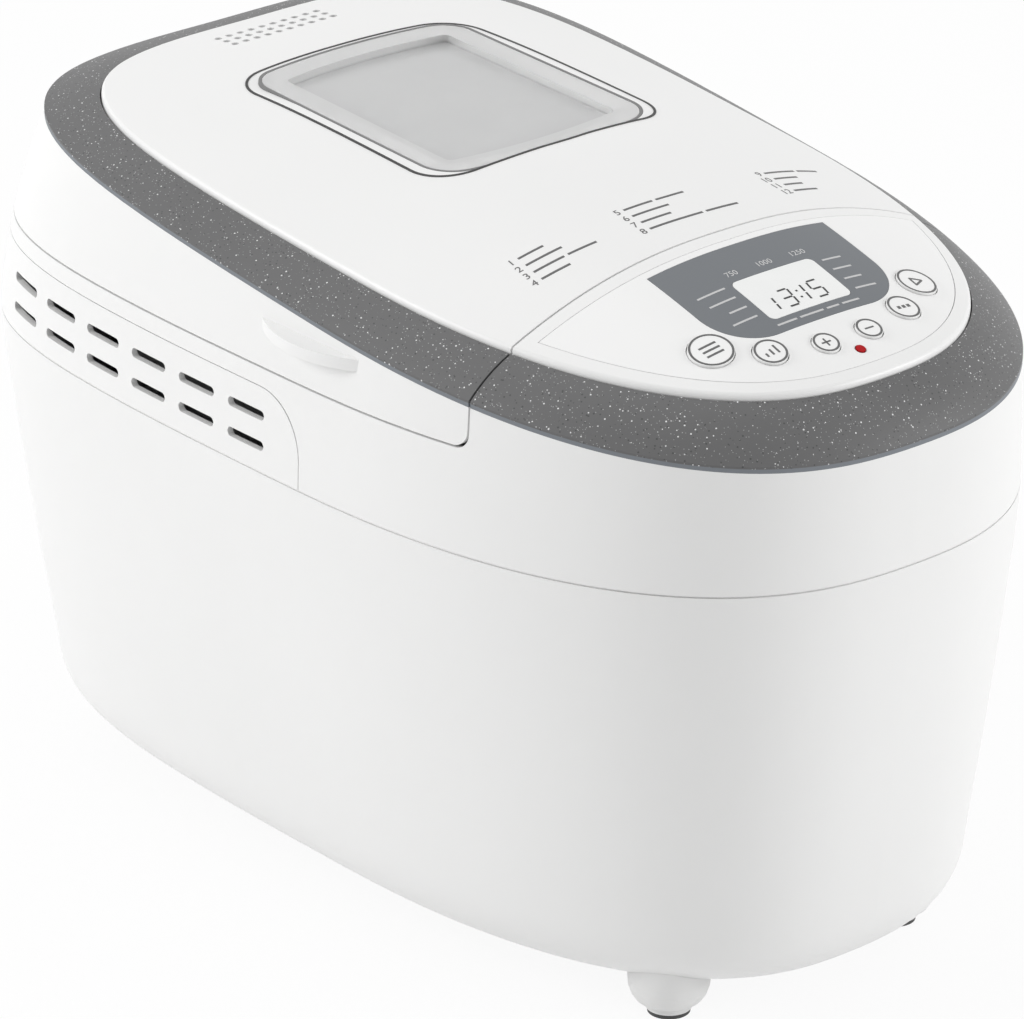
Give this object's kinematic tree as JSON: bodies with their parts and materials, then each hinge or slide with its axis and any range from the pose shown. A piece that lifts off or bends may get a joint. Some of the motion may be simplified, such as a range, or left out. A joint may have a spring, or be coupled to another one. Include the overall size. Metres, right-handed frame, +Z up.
{
  "type": "bread machine",
  "caption": "Oval worktop bread machine with a hinged lid and window, a sloping control panel, side vents, a lift-out pan and a belt-driven kneader.",
  "frame": {"origin": "on the floor, under the middle of the body", "axes": "+Z up, +Y from the control panel towards the lid hinge, +X to the right of someone facing the control panel"},
  "size_m": [0.2586, 0.4201, 0.2832],
  "materials": {
    "white_shell": "satin",
    "white_key": "satin",
    "speckled_band": "satin, speckled",
    "slate_inlay": "satin",
    "display": "gloss",
    "lamp": "gloss",
    "circuit": "satin",
    "switch": "matte",
    "pad": "matte",
    "clear_pane": "gloss",
    "dark_seal": "matte",
    "liner_sheet": "satin",
    "chamber_sheet": "satin",
    "element": "satin",
    "ceramic": "matte",
    "bare_steel": "satin",
    "bronze": "satin",
    "belt": "matte",
    "motor_case": "satin",
    "gland": "matte",
    "pulley": "satin",
    "die_cast": "satin",
    "non_stick": "satin"
  },
  "bodies": {
    "base": {"lower_body": "white_shell", "upper_housing": "white_shell", "vent_panel": "white_shell", "front_band": "speckled_band", "control_deck": "white_shell", "control_fascia": "white_shell", "display_inlay": "slate_inlay", "display_window": "display", "lcd_module": "display", "control_board": "circuit", "tact_switches": "switch", "led_lens": "lamp", "base_plate": "white_shell", "baking_chamber": "chamber_sheet", "heating_element": "element", "element_bushes": "ceramic", "temperature_probe": "bare_steel", "pan_clips": "bare_steel", "chassis_plate": "bare_steel", "chassis_screws": "bare_steel", "drive_bearing": "bronze", "drive_belt": "belt", "motor": "motor_case", "power_board": "circuit", "cord_gland": "gland", "hinge_pins": "bare_steel", "foot_front_left": "white_shell", "foot_pad_front_left": "pad", "foot_front_right": "white_shell", "foot_pad_front_right": "pad", "foot_rear_left": "white_shell", "foot_pad_rear_left": "pad", "foot_rear_right": "white_shell", "foot_pad_rear_right": "pad"},
    "lid": {"lid_skirt": "white_shell", "lid_band": "speckled_band", "lid_cover": "white_shell", "lid_window": "clear_pane", "window_seal": "dark_seal", "lid_liner": "liner_sheet"},
    "drive": {"drive_shaft": "bare_steel", "drive_pulley": "pulley", "drive_coupling": "die_cast"},
    "motor_rotor": {"motor_shaft": "bare_steel", "motor_pulley": "pulley"},
    "pan": {"bread_pan": "non_stick", "pan_foot": "die_cast", "pan_bush": "bronze"},
    "kneader": {"pan_shaft": "bare_steel", "pan_coupling": "die_cast", "kneading_paddle": "non_stick"},
    "handle": {"pan_handle": "bare_steel"},
    "menu_key": {"menu_button": "white_key"},
    "size_key": {"size_button": "white_key"},
    "plus_key": {"plus_button": "white_key"},
    "minus_key": {"minus_button": "white_key"},
    "colour_key": {"colour_button": "white_key"},
    "start_key": {"start_button": "white_key"}
  },
  "joints": [
    {"name": "lid_hinge", "type": "hinge", "parent": "base", "child": "lid", "pos_m": [0, 0.20016, 0.225], "axis": [-1, 0, 0], "range_deg": [0, 95]},
    {"name": "menu_press", "type": "slide", "parent": "base", "child": "menu_key", "axis": [0, 0.2706, -0.9627], "range_m": [0, 0.0008], "stiffness_N_per_m": 300},
    {"name": "size_press", "type": "slide", "parent": "base", "child": "size_key", "axis": [0, 0.2706, -0.9627], "range_m": [0, 0.0008], "stiffness_N_per_m": 300},
    {"name": "plus_press", "type": "slide", "parent": "base", "child": "plus_key", "axis": [0, 0.2706, -0.9627], "range_m": [0, 0.0008], "stiffness_N_per_m": 300},
    {"name": "minus_press", "type": "slide", "parent": "base", "child": "minus_key", "axis": [0, 0.2706, -0.9627], "range_m": [0, 0.0008], "stiffness_N_per_m": 300},
    {"name": "colour_press", "type": "slide", "parent": "base", "child": "colour_key", "axis": [0, 0.2706, -0.9627], "range_m": [0, 0.0008], "stiffness_N_per_m": 300},
    {"name": "start_press", "type": "slide", "parent": "base", "child": "start_key", "axis": [0, 0.2706, -0.9627], "range_m": [0, 0.0008], "stiffness_N_per_m": 300},
    {"name": "drive_spin", "type": "hinge", "parent": "base", "child": "drive", "pos_m": [0, 0.04, 0.05], "axis": [0, 0, 1], "continuous": true},
    {"name": "motor_spin", "type": "hinge", "parent": "base", "child": "motor_rotor", "pos_m": [0, -0.14, 0.05], "axis": [0, 0, 1], "continuous": true},
    {"name": "pan_lift", "type": "slide", "parent": "base", "child": "pan", "axis": [0, 0, 1], "range_m": [0, 0.008]},
    {"name": "kneader_spin", "type": "hinge", "parent": "pan", "child": "kneader", "pos_m": [0, 0.04, 0.08], "axis": [0, 0, 1], "continuous": true},
    {"name": "handle_swing", "type": "hinge", "parent": "pan", "child": "handle", "pos_m": [0, 0.04, 0.1862], "axis": [0, -1, 0], "range_deg": [0, 180]}
  ],
  "couplings": [
    {"joint": "kneader_spin", "follows": "drive_spin", "ratio": 1},
    {"joint": "motor_spin", "follows": "drive_spin", "ratio": 5}
  ]
}
